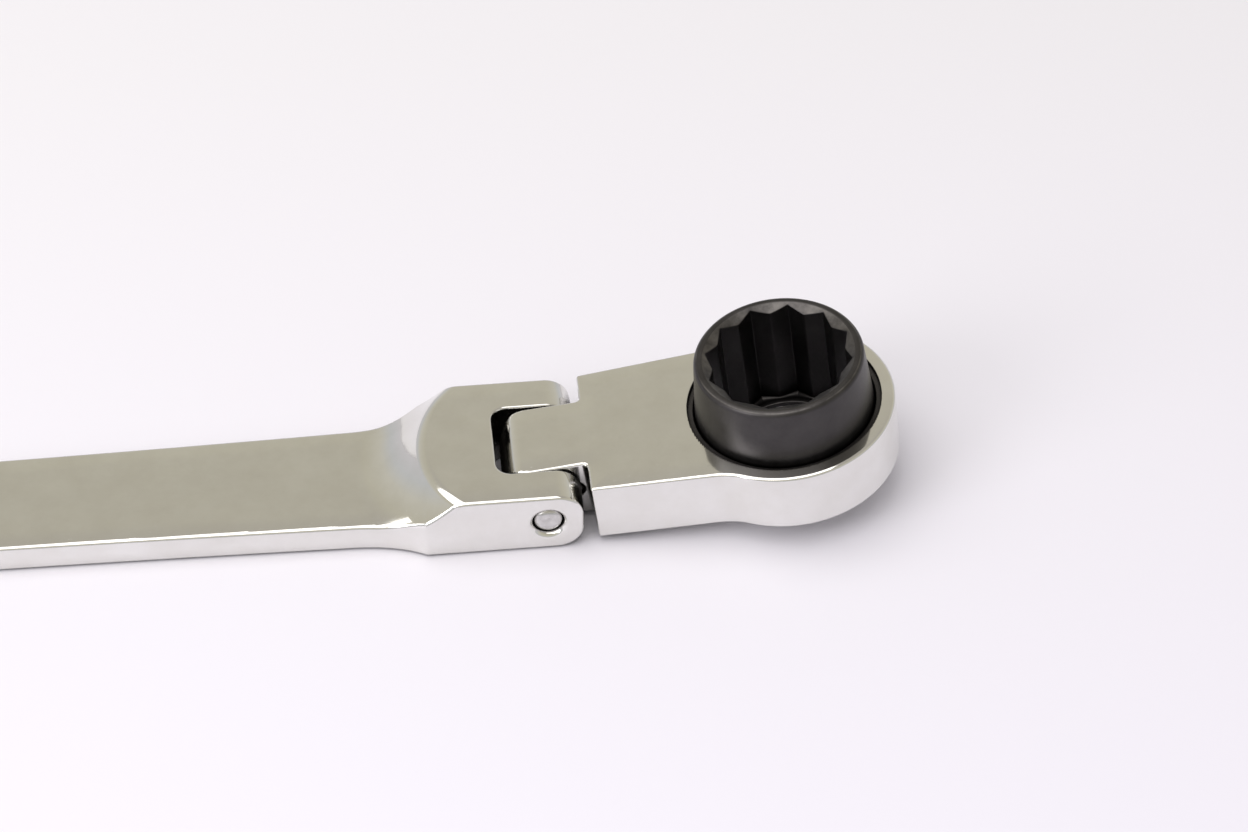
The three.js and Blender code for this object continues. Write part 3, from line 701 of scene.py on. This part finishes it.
class Graph:
    """A material's node tree, with short calls for the nodes used here."""

    def __init__(self, name):
        self.material = bpy.data.materials.new(name)
        self.material.use_nodes = True
        self.tree = self.material.node_tree
        self.tree.nodes.clear()
        self.coords = self.add("ShaderNodeTexCoord").outputs["Object"]

    def put(self, socket, value):
        if isinstance(value, bpy.types.NodeSocket):
            self.tree.links.new(value, socket)
        else:
            socket.default_value = value

    def add(self, kind, inputs=None, **settings):
        made = self.tree.nodes.new(kind)
        for key, value in settings.items():
            setattr(made, key, value)
        for key, value in (inputs or {}).items():
            self.put(made.inputs[key], value)
        return made

    def stretched(self, scale, turn=(0, 0, 0)):
        inputs = {"Vector": self.coords, "Rotation": turn, "Scale": scale}
        return self.add("ShaderNodeMapping", inputs).outputs["Vector"]

    def noise(self, scale, detail=3.0, rough=0.5, vector=None):
        inputs = {"Vector": vector or self.coords, "Scale": scale}
        inputs.update({"Detail": detail, "Roughness": rough})
        return self.add("ShaderNodeTexNoise", inputs).outputs["Fac"]

    def fit(self, value, low, high, to_low=0.0, to_high=1.0):
        """The value's place between low and high, kept within to_low and to_high."""
        inputs = {"Value": value, "From Min": low, "From Max": high}
        inputs.update({"To Min": to_low, "To Max": to_high})
        return self.add("ShaderNodeMapRange", inputs).outputs["Result"]

    def math(self, operation, a, b=0.0):
        return self.add("ShaderNodeMath", {0: a, 1: b}, operation=operation).outputs[0]

    def blend(self, share, a, b):
        """Color a where the share is 0 and b where it is 1."""
        inputs = {"Factor": share, MIX_A: a, MIX_B: b}
        return self.add("ShaderNodeMix", inputs, data_type="RGBA").outputs[MIX_RESULT]

    def bump(self, height, depth, strength=1.0, normal=None):
        made = self.add("ShaderNodeBump", {"Strength": strength, "Distance": depth, "Height": height})
        if normal:
            self.put(made.inputs["Normal"], normal)
        return made.outputs["Normal"]

    def scratches(self, turn, length, fineness, cut):
        """Thin broken lines: noise drawn out along one direction and cut at a high level."""
        streaks = self.noise(1, 2, 0.6, self.stretched((length, fineness, fineness), turn))
        return self.fit(streaks, cut, cut + 0.05)

    def edges(self, radius):
        """1 on sharp convex edges and 0 on broad faces."""
        bevel = self.add("ShaderNodeBevel", {"Radius": radius}, samples=4)
        normal = self.add("ShaderNodeNewGeometry").outputs["Normal"]
        dot = self.add("ShaderNodeVectorMath", {0: bevel.outputs[0], 1: normal}, operation="DOT_PRODUCT")
        return self.fit(dot.outputs["Value"], 0.995, 0.9)

    def crevice(self, reach, open_at, shut_at):
        """1 deep in a gap and 0 in the open, by how much of the surroundings is in sight."""
        made = self.add("ShaderNodeAmbientOcclusion", {"Distance": reach}, samples=8)
        return self.fit(made.outputs["AO"], open_at, shut_at)

    def bevelled(self):
        """1 on faces that slope about 30 degrees from level, as a socket's mouth does."""
        normal = self.add("ShaderNodeTexCoord").outputs["Normal"]
        level = self.add("ShaderNodeSeparateXYZ", {0: normal}).outputs["Z"]
        return self.math("MULTIPLY", self.fit(level, 0.78, 0.84), self.fit(level, 0.94, 0.9))

    def finish(self, color, rough, metal=1.0, normal=None, **extra):
        made = self.add("ShaderNodeBsdfPrincipled")
        self.put(made.inputs["Base Color"], color)
        self.put(made.inputs["Roughness"], rough)
        self.put(made.inputs["Metallic"], metal)
        for key, value in extra.items():
            self.put(made.inputs[key.replace("_", " ")], value)
        if normal:
            self.put(made.inputs["Normal"], normal)
        out = self.add("ShaderNodeOutputMaterial")
        self.put(out.inputs["Surface"], made.outputs[0])
        return self.material


def chrome(name, along=(0, 0, 0)):
    """Polished plate: faint ripples, lengthwise buffing lines, hair scratches, oily dirt and painted shade in the
    gaps.
    """
    g = Graph(name)
    ripple = g.noise(90, 2)
    buffing = g.noise(1, 3, 0.6, g.stretched((120, 9000, 9000), along))
    hair = g.math(
        "MAXIMUM",
        g.scratches((0, 0, 0.5), 260, 9000, 0.72),
        g.scratches((0, 0.2, -0.9), 320, 8000, 0.73),
    )
    haze = g.noise(160, 4, 0.6)
    rough = g.fit(haze, 0.35, 0.7, 0.05, 0.11)
    rough = g.math("ADD", rough, g.fit(buffing, 0.4, 0.8, 0, 0.03))
    rough = g.math("ADD", rough, g.math("MULTIPLY", hair, 0.12))
    # Ambient occlusion marks the gaps. They get rougher and near black, partly as oily dirt and partly as painted
    # shade where little light reaches.
    grime_and_painted_shade = g.crevice(0.004, 0.55, 0.18)
    rough = g.math("ADD", rough, g.math("MULTIPLY", grime_and_painted_shade, 0.35))
    tint = g.blend(g.fit(haze, 0.3, 0.75), (0.80, 0.795, 0.775, 1), (0.74, 0.73, 0.70, 1))
    # Painted shade, with some dirt: the gaps' colour is blended to near black.
    color = g.blend(grime_and_painted_shade, tint, (0.03, 0.026, 0.022, 1))
    normal = g.bump(ripple, 0.00012, 0.5)
    normal = g.bump(buffing, 0.0000015, 0.6, normal)
    normal = g.bump(hair, 0.000004, 0.4, normal)
    return g.finish(color, rough, 1.0, normal)


def black_oxide(name):
    """Satin black oxide: fine blast texture, turned lines, wear to brown steel on the edges, a painted highlight
    on the mouth's bevel and painted shade in the recesses.
    """
    g = Graph(name)
    grain = g.noise(5200, 3, 0.6)
    cloud = g.noise(240, 4, 0.6)
    lathe = g.noise(1, 2, 0.5, g.stretched((150, 150, 9000)))
    patchy = g.fit(g.noise(260, 4, 0.7), 0.35, 0.65)
    # Painted shade: ambient occlusion marks recesses such as the socket's bore. The same mask keeps wear out of
    # them.
    deep = g.crevice(0.025, 0.42, 0.15)
    # Lighter brown steel on sharp edges is wear. On the mouth's 30-degree bevel it is partly wear and partly a
    # painted highlight.
    worn = g.math("MULTIPLY", g.math("MAXIMUM", g.edges(0.00022), g.bevelled()), patchy)
    worn = g.math("MULTIPLY", worn, g.fit(deep, 0, 1, 0.35, 0))
    base = g.blend(g.fit(cloud, 0.3, 0.7), (0.056, 0.053, 0.053, 1), (0.074, 0.070, 0.070, 1))
    # Painted shade: the recesses' colour is blended to near black.
    base = g.blend(deep, base, (0.012, 0.011, 0.011, 1))
    # Wear, and on the mouth's bevel a painted highlight: lighter steel where this mask is high.
    color = g.blend(worn, base, (0.30, 0.285, 0.27, 1))
    rough = g.math("ADD", g.fit(cloud, 0.3, 0.7, 0.33, 0.42), g.fit(grain, 0.3, 0.7, -0.03, 0.05))
    normal = g.bump(grain, 0.00001, 0.35)
    normal = g.bump(lathe, 0.000005, 0.35, normal)
    return g.finish(color, rough, 1.0, normal)


def ground_steel(name, color, rough, grain=6000.0):
    """Bare or plated steel with fine lengthwise grinding lines and darker spots."""
    g = Graph(name)
    lines = g.noise(1, 3, 0.6, g.stretched((400, grain, grain)))
    spots = g.noise(500, 4, 0.6)
    dark = tuple(0.75 * c for c in color) + (1,)
    tint = g.blend(g.fit(spots, 0.35, 0.7), color + (1,), dark)
    level = g.fit(g.math("ADD", lines, spots), 0.7, 1.3, rough - 0.06, rough + 0.1)
    return g.finish(tint, level, 1.0, g.bump(lines, 0.000004, 0.4))


def soft_rubber(name):
    g = Graph(name)
    grain = g.noise(3000, 3)
    color = g.blend(grain, (0.012, 0.012, 0.012, 1), (0.03, 0.03, 0.03, 1))
    return g.finish(color, g.fit(grain, 0.3, 0.7, 0.6, 0.8), 0.0, g.bump(grain, 0.00002, 0.4))


def floor_material():
    """A pale matt surface with a painted light tint: a touch warmer far off and cooler near by."""
    g = Graph("pale_surface")
    where = g.add("ShaderNodeSeparateXYZ", {0: g.coords}).outputs["Y"]
    # Painted light tint: warm towards the back, cool towards the front.
    color = g.blend(g.fit(where, -0.08, 0.12), (0.885, 0.86, 0.92, 1), (0.87, 0.855, 0.865, 1))
    grain = g.noise(900, 4)
    return g.finish(color, g.fit(grain, 0.3, 0.7, 0.5, 0.6), 0.0, g.bump(grain, 0.00003, 0.1))


# ---------------------------------------------------------------- pieces
CHROME = chrome("chrome_plate")
BLACK = black_oxide("black_oxide")
STEEL = ground_steel("ground_steel", (0.66, 0.65, 0.64), 0.22)
SATIN = ground_steel("satin_nickel", (0.58, 0.56, 0.52), 0.32)
WIRE = ground_steel("spring_wire", (0.42, 0.42, 0.43), 0.25, 9000.0)
BRONZE = ground_steel("sintered_bronze", (0.55, 0.38, 0.2), 0.35)
RUBBER = soft_rubber("seal_rubber")
SLOT_LOOKS = {
    "chrome": CHROME, "black_oxide": BLACK, "steel": STEEL, "satin_steel": SATIN,
    "spring_steel": WIRE, "bronze": BRONZE, "rubber": RUBBER,
}
slots = {part["node"]: part["material_slot"] for part in frame["record"]["subparts"]}


def stand_for(piece, node):
    """The piece takes the CAD node's place and its material slot."""
    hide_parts(node)
    piece.data.materials.append(SLOT_LOOKS[slots[node]])


stand_for(make_handle(), "handle")
stand_for(make_head(), "head_body")
stand_for(make_socket(), "drive_socket")
cover_ring, thrust_washer = make_rings()
stand_for(cover_ring, "gear_cover_ring")
stand_for(thrust_washer, "gear_thrust_washer")
stand_for(make_snap_ring(), "gear_snap_ring")
stand_for(make_pin(), "flex_pin")
stand_for(make_plate(), "neck_plate")
for screw, node in zip(make_screws(), ("plate_screw_left", "plate_screw_right")):
    stand_for(screw, node)
stand_for(make_lever(), "reversing_lever")

for node, solid in frame["nodes"].items():
    if not solid.hide_render:
        solid.data.materials.clear()
        solid.data.materials.append(SLOT_LOOKS[slots[node]])


# ---------------------------------------------------------------- floor, light and camera
def make_floor():
    mesh = bpy.data.meshes.new("floor")
    reach = 3.0
    corners = [(-reach, -reach, 0), (reach, -reach, 0), (reach, reach, 0), (-reach, reach, 0)]
    mesh.from_pydata(corners, [], [(0, 1, 2, 3)])
    floor = bpy.data.objects.new("floor", mesh)
    floor.location.z = -0.00002  # clear of the handle's underside
    mesh.materials.append(floor_material())
    bpy.context.scene.collection.objects.link(floor)


def aim(place, target):
    return (Vector(target) - Vector(place)).to_track_quat("-Z", "Y").to_matrix().to_4x4()


def area_light(name, place, target, width, height, power, color):
    lamp = bpy.data.lights.new(name, "AREA")
    lamp.shape = "RECTANGLE"
    lamp.size, lamp.size_y = width, height
    lamp.energy = power
    lamp.color = color
    made = bpy.data.objects.new(name, lamp)
    made.matrix_world = Matrix.Translation(place) @ aim(place, target)
    bpy.context.scene.collection.objects.link(made)


# The room's colours from the horizon (0) to overhead (1), by the height of the view's direction
ROOM_TONES = [
    (0.02, (0.66, 0.64, 0.66)),
    (0.20, (0.60, 0.605, 0.61)),
    (0.40, (0.62, 0.595, 0.52)),
    (0.66, (0.56, 0.53, 0.437)),
    (0.85, (0.46, 0.435, 0.39)),
]


def make_world():
    """A dim beige room, mirrored by the polished faces, that casts a neutral light."""
    world = bpy.data.worlds.new("room")
    world.use_nodes = True
    tree = world.node_tree
    add, link = tree.nodes.new, tree.links.new
    height = add("ShaderNodeSeparateXYZ")
    link(add("ShaderNodeTexCoord").outputs["Generated"], height.inputs[0])
    walls = add("ShaderNodeValToRGB")
    link(height.outputs["Z"], walls.inputs["Fac"])
    while len(walls.color_ramp.elements) < len(ROOM_TONES):
        walls.color_ramp.elements.new(1.0)
    for stop, (level, color) in zip(walls.color_ramp.elements, ROOM_TONES):
        stop.position = level
        stop.color = (*color, 1)
    light = add("ShaderNodeMix")
    light.data_type = "RGBA"
    link(add("ShaderNodeLightPath").outputs["Is Diffuse Ray"], light.inputs["Factor"])
    link(walls.outputs["Color"], light.inputs[MIX_A])
    light.inputs[MIX_B].default_value = (0.50, 0.49, 0.50, 1)
    link(light.outputs[MIX_RESULT], tree.nodes["Background"].inputs["Color"])
    bpy.context.scene.world = world


CAMERA_AZIMUTH = math.radians(-5.76)
CAMERA_ELEVATION = math.radians(44.1)
CAMERA_DISTANCE = 0.5917
CAMERA_TARGET = Vector((PIN.x + 0.01533, 0.01565, 0))


def make_camera():
    azimuth, elevation = CAMERA_AZIMUTH, CAMERA_ELEVATION
    back = Vector((
        math.sin(azimuth) * math.cos(elevation),
        -math.cos(azimuth) * math.cos(elevation),
        math.sin(elevation),
    ))
    lens = bpy.data.cameras.new("camera")
    lens.lens = 100
    lens.sensor_width = 36
    camera = bpy.data.objects.new("camera", lens)
    place = CAMERA_TARGET + back * CAMERA_DISTANCE
    camera.matrix_world = Matrix.Translation(place) @ aim(place, CAMERA_TARGET)
    bpy.context.scene.collection.objects.link(camera)
    bpy.context.scene.camera = camera


make_floor()
make_world()
make_camera()
lit_spot = (0.05, 0, 0)
area_light("overhead", (-0.25, -0.1, 1.1), lit_spot, 1.5, 1.2, 9, (1.0, 0.98, 0.98))
area_light("side", (-0.75, -0.5, 0.55), lit_spot, 0.5, 0.5, 3.4, (0.97, 0.96, 1.0))
bpy.context.scene.view_settings.view_transform = "Standard"
